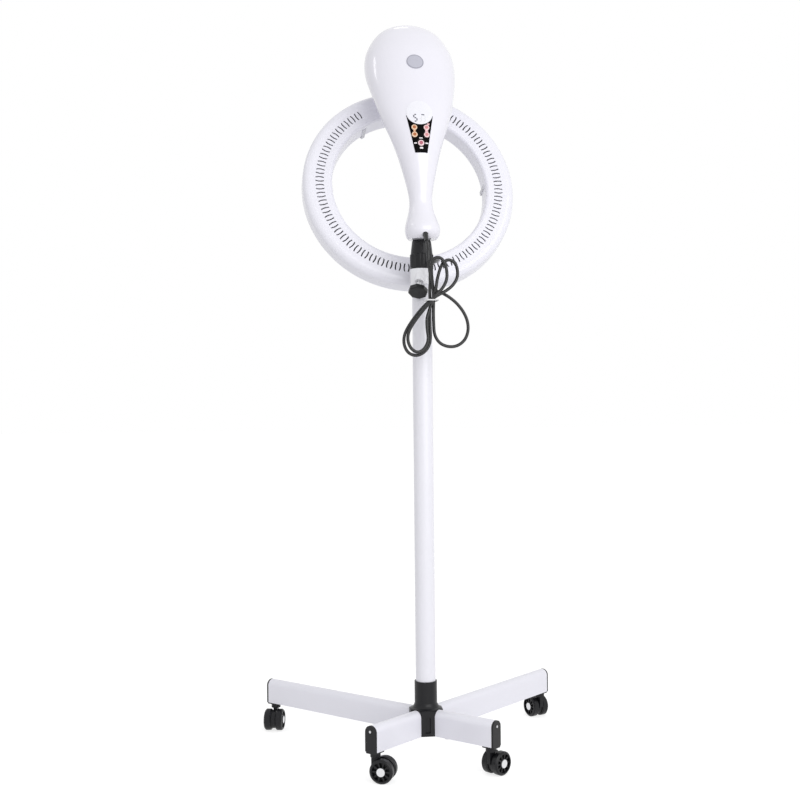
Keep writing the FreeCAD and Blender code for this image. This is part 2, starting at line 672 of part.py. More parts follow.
def make_wheel(name, place):
    """A wheel about its own Z axis: its inner face is at 0, the spokes show on the other."""
    bore = "axle_diameter / 2 + running_clearance"
    rim = "wheel_diameter / 2"
    hub = "axle_cap_diameter / 2 + 0.8"
    face = "wheel_width"
    outline = [
        (bore, "0"),
        (rim + " - 2.5", "0"),
        (rim, "2.5"),
        (rim, face + " - 2.5"),
        (rim + " - 2.5", face),
        (rim + " - 5", face),
        (rim + " - 5.8", face + " - 8"),
        (hub + " + 0.4", face + " - 8"),
        (hub, face + " - 2"),
        (bore, face + " - 2"),
    ]
    body = revolved(name, outline, place)
    spoke = body_sketch(
        body,
        name + "_spoke",
        "XY_Plane",
        [
            (hub + " - 0.5", "-1.1"),
            (rim + " - 5.2", "-1.6"),
            (rim + " - 5.2", "1.6"),
            (hub + " - 0.5", "1.1"),
        ],
        "wheel_width - 9",
    )
    pad = body.newObject("PartDesign::Pad", name + "_spoke_pad")
    pad.Profile = spoke
    pad.Length = 7
    body.Tip = pad
    spokes = body.newObject("PartDesign::PolarPattern", name + "_spokes")
    spokes.Originals = [pad]
    spokes.Axis = (spoke, ["N_Axis"])
    spokes.Angle = 360
    spokes.Occurrences = 10
    body.Tip = spokes
    node(body, name)


# --------------------------------------------------------------------------------------
# Head


def head_solid(offset, ends):
    """The head's gourd, grown by offset and lengthened at both ends by ends."""
    wires = []
    last = len(HEAD_SECTIONS) - 1
    for number, (rise, rear, front, half_width) in enumerate(HEAD_SECTIONS):
        height = FOOT + rise - (ends if number == 0 else 0) + (ends if number == last else 0)
        middle = (rear + front) / 2
        half_depth = (front - rear) / 2 + offset
        points = []
        for step in range(24):
            angle = 2 * math.pi * step / 24
            x = (half_width + offset) * math.cos(angle)
            points.append(Vector(x, middle + half_depth * math.sin(angle), height))
        curve = Part.BSplineCurve()
        curve.interpolate(points, PeriodicFlag=True)
        wires.append(Part.Wire([curve.toShape()]))
    return Part.makeLoft(wires, True, False)


def shield_prism():
    """The control panel's outline as a prism through the skin, in the panel's frame."""
    top = val("panel_height") / 2
    wide = val("panel_top_width") / 2
    narrow = val("panel_bottom_width") / 2
    arc_radius = val("display_radius") + val("body_gap")
    arc_low = val("display_rise") - arc_radius
    arc_side = math.sqrt(max(arc_radius ** 2 - (val("display_rise") - top) ** 2, 0))
    arc_side = min(arc_side, wide)
    edges = [
        Part.LineSegment(Vector(arc_side, top, 0), Vector(wide, top, 0)) if arc_side < wide - 0.01 else None,
        Part.LineSegment(Vector(wide, top, 0), Vector(narrow, -top, 0)),
        Part.LineSegment(Vector(narrow, -top, 0), Vector(-narrow, -top, 0)),
        Part.LineSegment(Vector(-narrow, -top, 0), Vector(-wide, top, 0)),
        Part.LineSegment(Vector(-wide, top, 0), Vector(-arc_side, top, 0)) if arc_side < wide - 0.01 else None,
        Part.Arc(Vector(-arc_side, top, 0), Vector(0, arc_low, 0), Vector(arc_side, top, 0)),
    ]
    wire = Part.Wire([edge.toShape() for edge in edges if edge])
    prism = Part.Face(wire).extrude(Vector(0, 0, 30))
    prism.Placement = within(PANEL, 0, 0, -10)
    return prism


def cylinder_shape(place, radius, height):
    shape = Part.makeCylinder(radius, height)
    shape.Placement = place
    return shape


BUTTONS = {
    "power_button": ("-button_spread / 2", "button_upper", "button_diameter"),
    "time_button": ("-button_spread / 2", "button_lower", "button_diameter"),
    "heat_button": ("button_spread / 2", "button_upper", "button_diameter"),
    "speed_button": ("button_spread / 2", "button_lower", "button_diameter"),
    "stop_button": ("0", "stop_button_place", "stop_button_diameter"),
}

POST_PLACES = [(33, 188), (-33, 188), (52, 392), (-52, 392)]
THROUGH = 250


def make_head():
    wall = val("shell_wall")
    film = val("film_thickness")
    outer = head_solid(0, 0)
    inner = head_solid(-wall, -wall)
    hollow = outer.cut(inner)

    seat = val("seat_distance")
    boss = cylinder_shape(within(ORBIT, 0, 0, seat - 7), val("seat_radius") + 4, 7).common(outer)
    seat_room = cylinder_shape(within(ORBIT, 0, 0, seat), val("seat_radius"), 40)
    bush_hole = cylinder_shape(within(ORBIT, 0, 0, seat - 20), val("shaft_diameter / 2 + 4"), 40)
    shell = hollow.fuse(boss)

    posts = []
    for x, rise in POST_PLACES:
        post = cylinder_shape(at(x, -60, FOOT + rise, Rotation(SIDEWAYS, -90)), val("post_diameter / 2"), THROUGH + 50)
        posts.append(post.common(outer))
    board_back = -val("board_depth")
    for x in (-17, 17):
        for y in (-26, 26):
            pillar = cylinder_shape(within(PANEL, x, y, board_back), 2.5, val("board_depth"))
            posts.append(pillar.common(outer))
    shell = shell.fuse(posts)

    holes = [seat_room, bush_hole]
    socket_radius = val("mast_diameter / 2 + running_clearance + socket_wall")
    holes.append(cylinder_shape(at(0, 0, FOOT - 5), socket_radius + val("seat_clearance"), 12))
    for x, y, diameter in BUTTONS.values():
        radius = val(diameter) / 2 + 0.1
        holes.append(cylinder_shape(within(PANEL, x, y, -10), radius, 20))
    for x, rise in POST_PLACES:
        along = Rotation(SIDEWAYS, -90)
        hole_radius = val("shell_screw_diameter / 2 + seat_clearance")
        holes.append(cylinder_shape(at(x, parting_at(rise) - 15, FOOT + rise, along), hole_radius, THROUGH))
        holes.append(cylinder_shape(at(x, parting_at(rise) + 9, FOOT + rise, along), 3.9, THROUGH))
    gland_hole = within(GLAND, 0, 0, -12)
    holes.append(cylinder_shape(gland_hole, val("gland_diameter / 2 + seat_clearance"), 40))
    shell = shell.cut(holes)

    rise_all = HEAD_SECTIONS[-1][0]
    lean = math.degrees(math.atan2(val("parting_top - parting_foot"), rise_all))
    half_space = Part.makeBox(400, 400, 700)
    half_space.Placement = Placement(Vector(-200, val("parting_foot"), FOOT), Rotation(SIDEWAYS, -lean)).multiply(
        Placement(Vector(0, 0, -100), Rotation())
    )
    node(feature("rear_half", shell.cut(half_space)), "rear_shell")
    node(feature("front_half", shell.common(half_space)), "front_shell")

    glue = val("glue_thickness")
    over = head_solid(glue + film, 0)
    under = head_solid(glue, 0)
    panel_holes = [
        cylinder_shape(within(PANEL, x, y, -10), val(diameter) / 2 + 0.1, 20) for x, y, diameter in BUTTONS.values()
    ]
    panel = shield_prism().common(over).cut(under).cut(panel_holes)
    node(feature("panel_film", panel), "control_panel")
    window = cylinder_shape(within(PANEL, 0, "display_rise", -10), val("display_radius"), 30)
    node(feature("window_film", window.common(over).cut(under)), "display_window")
    badge = cylinder_shape(within(BADGE, 0, 0, -10), val("badge_diameter / 2"), 30)
    node(feature("badge_film", badge.common(over).cut(under)), "badge_disc")


def parting_at(rise):
    """Where the parting plane lies, forward of the pole, at a rise above the foot."""
    share = rise / HEAD_SECTIONS[-1][0]
    return val("parting_foot") + share * val("parting_top - parting_foot")


def make_shell_screws():
    screws = []
    for number, (x, rise) in enumerate(POST_PLACES):
        along = Rotation(SIDEWAYS, -90)
        seat = parting_at(rise) + 9
        shank = cylinder(f"shell_screw_shank_{number}", at(x, seat - 22, FOOT + rise, along),
                         "shell_screw_diameter / 2", "23")
        head = cylinder(f"shell_screw_head_{number}", at(x, seat, FOOT + rise, along), "3.7", "2.6")
        screws.append(fused(f"shell_screw_{number}", shank, head))
    node(group("all_shell_screws", *screws), "shell_screws")


def make_sleeve():
    bore = "mast_diameter / 2 + running_clearance + socket_wall + seat_clearance"
    low = "pole_top + bush_flange + body_gap"
    high = low + " + sleeve_height"
    outline = [
        (bore, low),
        ("sleeve_diameter / 2 - 0.8", low),
        ("sleeve_diameter / 2", low + " + 1"),
        ("sleeve_diameter / 2", low + " + sleeve_shoulder"),
        ("sleeve_diameter / 2 - 1.2", low + " + sleeve_shoulder + 1.2"),
        ("sleeve_neck_diameter / 2 + 1.6", high + " - 3"),
        ("sleeve_neck_diameter / 2", high),
        (bore, high),
    ]
    turned = revolved("sleeve_turned", outline)
    flutes = []
    count = int(val("flute_count"))
    for number in range(count):
        turn = Rotation(UP, 360 / count * number)
        middle = turn.multVec(Vector(val("sleeve_diameter / 2 - flute_depth") + 4, 0, 0))
        flutes.append(cylinder(f"flute_{number}", at(middle.x, middle.y, low + " + 3"), "4", "sleeve_height"))
    node(cut("sleeve_cut", turned, *flutes), "fluted_sleeve")


def make_frame():
    """Head frame: the mast's socket, a bar up the neck and the plate that carries the motor."""
    low = "pole_top + bush_flange + body_gap"
    mast_high = "pole_top - mast_sunk + mast_length"
    bore = "mast_diameter / 2 + running_clearance"
    outer = bore + " + socket_wall"
    outline = [
        (bore, low),
        (outer, low),
        (outer, mast_high + " + socket_cap"),
        ("0", mast_high + " + socket_cap"),
        ("0", mast_high + " + 0.1"),
        (bore, mast_high + " + 0.1"),
    ]
    socket = revolved("frame_socket", outline)
    foot = Vector(0, 2, val(mast_high + " + socket_cap") - 2)
    head = ORBIT.multVec(Vector(0, val("frame_plate_width") / 2 - 8, 2))
    reach = head - foot
    lean = math.degrees(math.atan2(reach.y, reach.z))
    bar_place = Placement(foot, Rotation(SIDEWAYS, -lean)).multiply(at(-8, -5, 0))
    bar = box("frame_bar", bar_place, "16", "10", str(reach.Length))
    half = "frame_plate_width / 2"
    plate = box("frame_plate_box", within(ORBIT, f"-{half}", f"-{half}", 0), "frame_plate_width", "frame_plate_width",
                "frame_plate")
    hole = cylinder("frame_shaft_hole", within(ORBIT, 0, 0, -5), "shaft_diameter / 2 + body_gap", "20")
    behind = box("frame_motor_room", within(ORBIT, f"-{half}", f"-{half}", -60), "frame_plate_width",
                 "frame_plate_width", "60")
    trimmed = cut("frame_bar_cut", bar, behind)
    node(cut("frame_cut", fused("frame_solid", socket, trimmed, plate), hole), "head_frame")


def make_board():
    board = box(
        "board_box",
        within(PANEL, "-board_width / 2", "-board_height / 2", "-board_depth - board_thickness"),
        "board_width",
        "board_height",
        "board_thickness",
    )
    node(board, "circuit_board")


def make_buttons():
    for name, (x, y, diameter) in BUTTONS.items():
        radius = f"{diameter} / 2"
        low = "-board_depth + button_travel + 0.2"
        outline = [
            ("0", low),
            (radius, low),
            (radius, "button_height - 0.9"),
            (radius + " - 0.9", "button_height - 0.1"),
            ("0", "button_height"),
        ]
        node(revolved(name + "_cap", outline, within(PANEL, x, y, 0)), name)


def make_drive():
    motor_case = cylinder("motor_case", within(ORBIT, 0, 0, "-motor_length"), "motor_diameter / 2", "motor_length")
    motor_bore = cylinder("motor_bore", within(ORBIT, 0, 0, -14), "shaft_diameter / 2 + body_gap", "20")
    node(cut("motor_cut", motor_case, motor_bore), "gear_motor")

    slip = cylinder("slip_case", within(ORBIT, 0, 0, "frame_plate"), "slip_ring_diameter / 2", "slip_ring_length")
    slip_bore = cylinder("slip_bore", within(ORBIT, 0, 0, 0), "shaft_diameter / 2 + body_gap", "80")
    node(cut("slip_cut", slip, slip_bore), "slip_ring")

    bore = "shaft_diameter / 2 + running_clearance"
    fit = "shaft_diameter / 2 + 4 - seat_clearance"
    outline = [
        (bore, "seat_distance - 11"),
        (fit + " + 5", "seat_distance - 11"),
        (fit + " + 5", "seat_distance - 7"),
        (fit, "seat_distance - 7"),
        (fit, "seat_distance"),
        (bore, "seat_distance"),
    ]
    node(revolved("orbit_bush_ring", outline, ORBIT), "orbit_bush")

    shaft_end = "seat_distance + body_gap + hub_disc_thickness - 3"
    shaft = cylinder("shaft_bar", within(ORBIT, 0, 0, -12), "shaft_diameter / 2", shaft_end + " + 12")
    node(shaft, "orbit_shaft")

    face = "seat_distance + body_gap"
    disc = revolved(
        "hub_disc",
        [
            ("0", face),
            ("hub_disc_radius - 1.5", face),
            ("hub_disc_radius", face + " + 1.5"),
            ("hub_disc_radius", face + " + hub_disc_thickness - 2.5"),
            ("hub_disc_radius - 2.5", face + " + hub_disc_thickness"),
            ("0", face + " + hub_disc_thickness"),
        ],
        ORBIT,
    )
    middle = "(ring_outer_radius + ring_inner_radius) / 2"
    arm = cylinder("hub_arm", within(RING, 0, middle, "ring_half_depth"), "hub_arm_radius", "60")
    behind = box("hub_room", within(ORBIT, -THROUGH / 2, -THROUGH / 2, val(face) + 1 - THROUGH), str(THROUGH),
                 str(THROUGH), str(THROUGH))
    trimmed = cut("hub_arm_cut", arm, behind)
    hole = cylinder("hub_shaft_hole", within(ORBIT, 0, 0, 0), "shaft_diameter / 2 + seat_clearance", shaft_end)
    tools = [hole]
    for number, (x, y) in enumerate(ring_screw_places()):
        place = within(RING, x, y, "ring_half_depth - 1")
        tools.append(cylinder(f"hub_screw_hole_{number}", place, "2.5 + seat_clearance", "ring_screw_hold + 2"))
    node(cut("hub_cut", fused("hub_solid_orbit", disc, trimmed), *tools), "orbit_hub")


# --------------------------------------------------------------------------------------
# Ring heater

def ring_screw_places():
    """Where the ring's screws stand on the flat of the rear cover, across and out from its middle."""
    low = val("ring_inner_radius + ring_inner_round")
    high = val("ring_outer_radius - ring_outer_round")
    middle = (low + high) / 2
    shift = 0.4 * (high - low) / 2
    return [(-14, middle - shift), (14, middle - shift), (0, middle + shift)]


def make_rear_cover():
    outer = "ring_outer_radius"
    inner = "ring_inner_radius"
    outline = [
        (inner, "ring_seam"),
        (inner, "ring_half_depth"),
        (outer, "ring_half_depth"),
        (outer, "ring_seam"),
        (outer + " - cover_wall", "ring_seam"),
        (outer + " - cover_wall", "ring_half_depth - cover_wall"),
        (inner + " + cover_wall", "ring_half_depth - cover_wall"),
        (inner + " + cover_wall", "ring_seam"),
    ]
    body = revolved("rear_cover_turned", outline)
    inside = "ring_half_depth - cover_wall"
    filleted(body, [(outer, "ring_half_depth")], "ring_outer_round")
    filleted(body, [(outer + " - cover_wall", inside)], "ring_outer_round - cover_wall")
    filleted(body, [(inner, "ring_half_depth")], "ring_inner_round")
    filleted(body, [(inner + " + cover_wall", inside)], "ring_inner_round - cover_wall")
    doc.recompute()

    cutters = [slot for place in slot_places() for slot in vent_slots(place)]
    for x, y in ring_screw_places():
        cutters.append(cylinder_shape(at(x, y, 0), 2.5 + val("hole_clearance"), 60))
    cover = body.Shape.cut(cutters)
    node(feature("rear_cover_cut", cover, RING), "ring_rear_cover")


def slot_places():
    """Angles of the slot pairs, with none on the plain stretch under the orbit hub."""
    count = int(val("slot_pairs"))
    plain = val("plain_stretch")
    angles = [360 * (number + 0.5) / count for number in range(count)]
    return [angle for angle in angles if abs((angle - 90 + 180) % 360 - 180) > plain]


def vent_slots(angle):
    """Two slots that curve away from each other like a pair of brackets."""
    near = val("ring_inner_radius + slot_from_edge")
    far = near + val("slot_length")
    width = val("slot_width")
    pitch = 2 * math.pi * (near + far) / 2 / val("slot_pairs")
    slots = []
    for sign in (-1, 1):
        side = sign * pitch * 0.2
        bow = sign * pitch * 0.085
        middle = (near + far) / 2
        ends = [side - width / 2, side + width / 2]
        low = [Vector(near, ends[0], 0), Vector(near, ends[1], 0)]
        high = [Vector(far, ends[0], 0), Vector(far, ends[1], 0)]
        edges = [
            Part.Arc(low[0], Vector(middle, ends[0] + bow, 0), high[0]),
            Part.LineSegment(high[0], high[1]),
            Part.Arc(high[1], Vector(middle, ends[1] + bow, 0), low[1]),
            Part.LineSegment(low[1], low[0]),
        ]
        face = Part.Face(Part.Wire([edge.toShape() for edge in edges]))
        slot = face.extrude(Vector(0, 0, val("ring_half_depth") + 5))
        slot.rotate(Vector(), UP, angle)
        slots.append(slot)
    return slots


def make_front_cover():
    outer = "ring_outer_radius"
    inner = "ring_inner_radius"
    front = "-ring_half_depth"
    lip = front + " + cover_wall"
    floor = "ring_seam - cover_wall"
    outline = [
        (inner, "ring_seam"),
        (outer, "ring_seam"),
        (outer, front),
        (outer + " - 11", front),
        (outer + " - 11", lip),
        (outer + " - cover_wall", lip),
        (outer + " - cover_wall", floor),
        (inner + " + cover_wall", floor),
        (inner + " + cover_wall", lip),
        (inner + " + 10", lip),
        (inner + " + 10", front),
        (inner, front),
    ]
    body = revolved("front_cover_turned", outline, RING)
    filleted(body, [(outer, front)], "6")
    filleted(body, [(inner, front)], "5")
    node(body, "ring_front_cover")


def make_reflector():
    outer = "ring_outer_radius - cover_wall - body_gap"
    inner = "ring_inner_radius + cover_wall + body_gap"
    back = "ring_seam - cover_wall"
    sheet = "1"
    outline = [
        (inner, back),
        (outer, back),
        (outer, back + " - 10"),
        (outer + " - " + sheet, back + " - 10"),
        (outer + " - 6", back + " - " + sheet),
        (inner + " + 6", back + " - " + sheet),
        (inner + " + " + sheet, back + " - 10"),
        (inner, back + " - 10"),
    ]
    node(revolved("reflector_turned", outline, RING), "ring_reflector")


HEATER_COUNT = 3
HEATER_HEIGHT = "-ring_half_depth + 8"
HOLDER_LENGTH = 30


def make_heaters():
    middle = val("(ring_outer_radius + ring_inner_radius) / 2")
    half_angle = math.degrees(math.atan2(HOLDER_LENGTH / 2, middle)) + 0.35
    tubes = []
    holders = []
    for number in range(HEATER_COUNT):
        start = 90 + 360 / HEATER_COUNT * number
        tube = primitive(
            "Torus",
            f"heater_tube_{number}",
            within(RING, 0, 0, HEATER_HEIGHT, Rotation(UP, start + half_angle)),
            Radius1="(ring_outer_radius + ring_inner_radius) / 2",
            Radius2="tube_diameter / 2",
        )
        tube.Angle3 = 360 / HEATER_COUNT - 2 * half_angle
        tubes.append(tube)
        frame = RING.multiply(Placement(Vector(), Rotation(UP, start)))
        low = "ring_seam - cover_wall - 1"
        holders.append(
            box(
                f"heater_holder_{number}",
                within(frame, middle - 8, -HOLDER_LENGTH / 2, f"{HEATER_HEIGHT} - 5.5"),
                "16",
                str(HOLDER_LENGTH),
                f"{low} - ({HEATER_HEIGHT} - 5.5)",
            )
        )
    node(group("all_heater_tubes", *tubes), "heater_tubes")
    node(group("all_heater_holders", *holders), "heater_holders")


def make_guard():
    """Wire guard over the heaters: three rings and radial wires that rest on the lips."""
    height = "-ring_half_depth - wire_diameter / 2"
    wires = []
    for number, share in enumerate((0.3, 0.5, 0.7)):
        radius = f"ring_inner_radius + {share} * (ring_outer_radius - ring_inner_radius)"
        wires.append(
            primitive("Torus", f"guard_ring_{number}", within(RING, 0, 0, height), Radius1=radius, Radius2="wire_diameter / 2")
        )
    count = 24
    for number in range(count):
        frame = RING.multiply(Placement(Vector(), Rotation(UP, 360 / count * (number + 0.5))))
        place = within(frame, "ring_inner_radius + 4", 0, height, Rotation(Vector(0, 1, 0), 90))
        wires.append(cylinder(f"guard_wire_{number}", place, "wire_diameter / 2",
                              "ring_outer_radius - ring_inner_radius - 9"))
    node(fused("guard", *wires), "wire_guard")


def make_guard_clips():
    clips = []
    front = "-ring_half_depth - wire_diameter"
    for number in range(6):
        turn = Rotation(UP, 3 + 60 * number)
        frame = RING.multiply(Placement(Vector(), turn))
        post = box(f"clip_post_{number}", within(frame, "ring_inner_radius - 1.7", -4, front + " - 1.5"), "1.6", "8",
                   "ring_half_depth + wire_diameter + 9.5")
        hook = box(f"clip_hook_{number}", within(frame, "ring_inner_radius - 1.7", -4, front + " - 1.5"), "12", "8", "1.5")
        clips.append(fused(f"clip_{number}", post, hook))
    node(group("all_guard_clips", *clips), "guard_clips")


def make_ring_screws():
    face = "ring_half_depth - cover_wall"
    screws = []
    for number, (x, y) in enumerate(ring_screw_places()):
        shank = cylinder(f"ring_screw_shank_{number}", within(RING, x, y, face + " - 1"), "2.5",
                         "cover_wall + ring_screw_hold + 1")
        head = cylinder(f"ring_screw_head_{number}", within(RING, x, y, face + " - 3.5"), "4.5", "3.5")
        screws.append(fused(f"ring_screw_{number}", shank, head))
    node(group("all_ring_screws", *screws), "ring_screws")


# --------------------------------------------------------------------------------------
# Mains lead

GLAND_DIRECTION = Vector(0, -math.cos(math.radians(val("gland_slope"))), -math.sin(math.radians(val("gland_slope"))))
GLAND = Placement(Vector(0, -val("gland_back"), FOOT + val("gland_drop")), Rotation(UP, GLAND_DIRECTION))


def cord_path(points):
    """Straight runs joined by tangent arcs, each arc as large as its two runs allow."""
    edges = []
    radii = []
    start = points[0]
    for before, corner, after in zip(points, points[1:], points[2:]):
        into = (corner - before).normalize()
        out = (after - corner).normalize()
        turn = into.getAngle(out)
        shorter = min((corner - before).Length, (after - corner).Length)
        reach = 0.45 * shorter
        radii.append(reach / math.tan(turn / 2))
        first = corner - into * reach
        last = corner + out * reach
        bisector = (out - into).normalize()
        centre = corner + bisector * (radii[-1] / math.cos(turn / 2))
        middle = centre - bisector * radii[-1]
        edges.append(Part.LineSegment(start, first).toShape())
        edges.append(Part.Arc(first, middle, last).toShape())
        start = last
    edges.append(Part.LineSegment(start, points[-1]).toShape())
    return Part.Wire(edges), radii


def make_cord():
    radius = val("cord_diameter") / 2
    gland_end = GLAND.multVec(Vector(0, 0, val("gland_length")))
    inside = cylinder("gland_inside", within(GLAND, 0, 0, -10), "gland_diameter / 2", "10")
    outside = primitive("Cone", "gland_outside", GLAND, Radius1="gland_diameter / 2", Radius2="cord_diameter / 2 + 0.8",
                        Height="gland_length")
    node(fused("gland_solid", inside, outside), "cord_gland")

    points = [gland_end] + [Vector(*point) for point in CORD_ROUTE] + [Vector(*CORD_END)]
    path, radii = cord_path(points)
    start_turn = Rotation(UP, (points[1] - points[0]).normalize())
    section = Part.Wire([Part.makeCircle(radius, points[0], start_turn.multVec(UP))])
    tube = path.makePipeShell([section], True, True)
    print("cord length", round(path.Length), "radii", [round(r) for r in radii])
    print("cord volume share", tube.Volume / (math.pi * radius ** 2 * path.Length), "valid", tube.isValid())
    node(feature("cord_tube", tube), "power_cord")

    end = Vector(*CORD_END)
    down = Rotation(SIDEWAYS, 180)
    plug = Placement(end, down)
    relief = primitive("Cone", "plug_relief", plug, Radius1="cord_diameter / 2 + 0.8", Radius2=6, Height=12)
    shell = box("plug_box", within(plug, -12, -7.5, 12), "24", "15", "28")
    rounded = doc.addObject("Part::Fillet", "plug_round")
    rounded.Base = shell
    doc.recompute()
    rounded.Edges = [(number, 3.0, 3.0) for number in range(1, 13)]
    pin_holes = []
    pins = []
    for number, x in enumerate((-9.3, 9.3)):
        pin_holes.append(cylinder(f"pin_hole_{number}", within(plug, x, 0, 34), "2 + seat_clearance", "10"))
        pins.append(cylinder(f"pin_{number}", within(plug, x, 0, 34), "2", "25"))
    node(cut("plug_cut", fused("plug_solid", relief, rounded), *pin_holes), "plug_body")
    node(group("pins", *pins), "plug_pins")

    # The twist tie is a flat loop round the lead's strands.
    loop = box("tie_loop", at(-6.5, -95, TIE_HEIGHT - 1.2), "21.5", "30.5", "2.4")
    room = box("tie_room", at(-5.5, -94, TIE_HEIGHT - 3), "19.5", "28.5", "6")
    node(cut("tie_cut", loop, room), "cord_tie")


# --------------------------------------------------------------------------------------

make_hub()
for corner in LEG_ANGLES:
    make_leg(corner)
node(group("all_end_caps", *[make_end_cap(corner) for corner in LEG_ANGLES]), "leg_end_caps")
make_base_screws()
make_pole()
make_collar()
make_clamp_knob()
make_mast()
for corner in LEG_ANGLES:
    make_caster(corner)
make_sleeve()
make_frame()
make_head()
make_shell_screws()
make_board()
make_buttons()
make_drive()
make_rear_cover()
make_front_cover()
make_reflector()
make_heaters()
make_guard()
make_guard_clips()
make_ring_screws()
make_cord()

doc.recompute()
broken = [obj.Label for obj in doc.Objects if {"Invalid", "Error"} & set(obj.State)]
broken += [obj.Label for obj in NODES if obj.Shape.isNull() or not obj.Shape.isValid() or not obj.Shape.Solids]
if broken:
    raise RuntimeError("failed: " + ", ".join(broken))

os.makedirs("parts", exist_ok=True)
for obj in NODES:
    obj.Shape.exportStep(f"parts/{obj.Label}.step")
print(len(NODES), "nodes")
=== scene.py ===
"""The look of the hair colour processor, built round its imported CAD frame."""
import json
import math

import bpy
from mathutils import Matrix, Vector
from mathutils.bvhtree import BVHTree


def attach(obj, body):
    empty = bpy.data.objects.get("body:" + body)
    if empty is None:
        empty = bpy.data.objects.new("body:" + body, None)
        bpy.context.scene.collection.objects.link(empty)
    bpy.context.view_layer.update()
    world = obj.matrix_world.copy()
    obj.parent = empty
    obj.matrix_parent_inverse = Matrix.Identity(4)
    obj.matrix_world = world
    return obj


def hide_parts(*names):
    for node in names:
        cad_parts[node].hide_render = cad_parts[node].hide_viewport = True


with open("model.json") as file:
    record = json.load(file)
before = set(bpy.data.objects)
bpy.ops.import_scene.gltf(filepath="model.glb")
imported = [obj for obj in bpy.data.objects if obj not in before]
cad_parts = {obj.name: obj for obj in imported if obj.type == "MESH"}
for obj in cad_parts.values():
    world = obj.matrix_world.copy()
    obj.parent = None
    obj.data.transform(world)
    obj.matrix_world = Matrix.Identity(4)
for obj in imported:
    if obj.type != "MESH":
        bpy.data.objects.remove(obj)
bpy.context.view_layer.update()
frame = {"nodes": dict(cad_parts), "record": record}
nodes = frame["nodes"]
scene = bpy.context.scene

# Camera: lens in millimetres, turn to the right and roll in degrees, place in metres.
CAMERA_LENS = 52.92
CAMERA_SHIFT = (-0.0289, 0.01375)
CAMERA_HEADING = 10
CAMERA_ROLL = -0.55
CAMERA_HEIGHT = 0.67
CAMERA_DISTANCE = 2.25

# The mains lead in metres: where it leaves the gland, then its route through the hank to the plug.
CORD_DIAMETER = 0.006
CORD_EXIT = (0.0, -0.05586, 0.98698)
CORD_ROUTE = [
    (0, -0.067, 0.974), (-0.0005, -0.071, 0.956), (0.002, -0.0705, 0.936), (0.004, -0.07, 0.916),
    (0.0022, -0.0695, 0.895), (0.003, -0.0695, 0.874), (0.002, -0.0695, 0.852), (0.002, -0.0697, 0.828),
    (0.0032, -0.07, 0.807), (0.0005, -0.0702, 0.7905), (-0.0095, -0.0706, 0.778),
    (-0.0245, -0.071, 0.7715), (-0.04, -0.0715, 0.777), (-0.048, -0.072, 0.793),
    (-0.047, -0.0725, 0.811), (-0.0375, -0.073, 0.829), (-0.0255, -0.074, 0.8455),
    (-0.0125, -0.0775, 0.8615), (0.001, -0.083, 0.874), (0.014, -0.084, 0.883),
    (0.0305, -0.084, 0.8915), (0.044, -0.083, 0.902), (0.0528, -0.082, 0.9165), (0.053, -0.081, 0.933),
    (0.048, -0.08, 0.945), (0.0375, -0.0795, 0.9505), (0.0267, -0.0792, 0.946), (0.0198, -0.079, 0.932),
    (0.0148, -0.079, 0.913), (0.012, -0.079, 0.894), (0.0062, -0.0763, 0.874),
    (-0.0005, -0.0765, 0.856), (-0.0055, -0.077, 0.839), (-0.0045, -0.0772, 0.82),
    (-0.0022, -0.0774, 0.804), (-0.0055, -0.0776, 0.7915), (-0.014, -0.0778, 0.781),
    (-0.0245, -0.078, 0.7778), (-0.0355, -0.0782, 0.785), (-0.0415, -0.0785, 0.799),
    (-0.0405, -0.079, 0.814), (-0.033, -0.08, 0.829), (-0.0205, -0.0825, 0.846),
    (-0.0085, -0.086, 0.861), (0.0025, -0.0895, 0.874), (0.0145, -0.0905, 0.887),
    (0.025, -0.0905, 0.8985), (0.0315, -0.09, 0.914), (0.031, -0.0895, 0.9305),
    (0.0268, -0.0887, 0.9445), (0.0205, -0.0878, 0.952), (0.0118, -0.0866, 0.9532),
    (0.0045, -0.0854, 0.9475), (0.003, -0.0836, 0.9355), (0.0046, -0.08, 0.916),
    (0.0085, -0.073, 0.895), (0.0096, -0.0695, 0.874), (0.0088, -0.0696, 0.852),
    (0.0092, -0.0695, 0.829), (0.0102, -0.0696, 0.811), (0.0195, -0.07, 0.7955),
    (0.036, -0.0703, 0.7885), (0.0535, -0.0706, 0.79), (0.0675, -0.0708, 0.8005),
    (0.0743, -0.071, 0.8165), (0.074, -0.0712, 0.8345), (0.067, -0.0714, 0.852),
    (0.055, -0.0716, 0.868), (0.0405, -0.071, 0.8805), (0.027, -0.069, 0.8885), (0.0165, -0.066, 0.893),
    (0.008, -0.064, 0.8985), (0.0045, -0.0628, 0.909), (0.0045, -0.062, 0.926), (0.008, -0.056, 0.942),
    (0.017, -0.044, 0.952), (0.027, -0.027, 0.956), (0.032, -0.005, 0.957), (0.028, 0.016, 0.9575),
    (0.018, 0.032, 0.954), (0.008, 0.04, 0.9455), (0.004, 0.041, 0.934),
]

# Height of the head's foot, and frames on the panel, badge and ring: Z faces the operator.
FOOT = 0.9963
PANEL = Matrix.Translation((0, -0.0026, FOOT + 0.204)) @ Matrix.Rotation(math.radians(77.4), 4, "X")
BADGE = Matrix.Translation((0, 0.053, FOOT + 0.358)) @ Matrix.Rotation(math.radians(67), 4, "X")
RING = Matrix.Translation((0, 0.147, FOOT + 0.124)) @ Matrix.Rotation(math.radians(73), 4, "X")

# How far laid pieces stand out of the skin and reach into it, and how far off the cast starts.
INK_HEIGHT = 0.00015
CENTRE_HEIGHT = 0.0003
CAP_SCREW_RISE = 0.0008
SKIN_BITE = 0.0001
CAST_FROM = 0.03

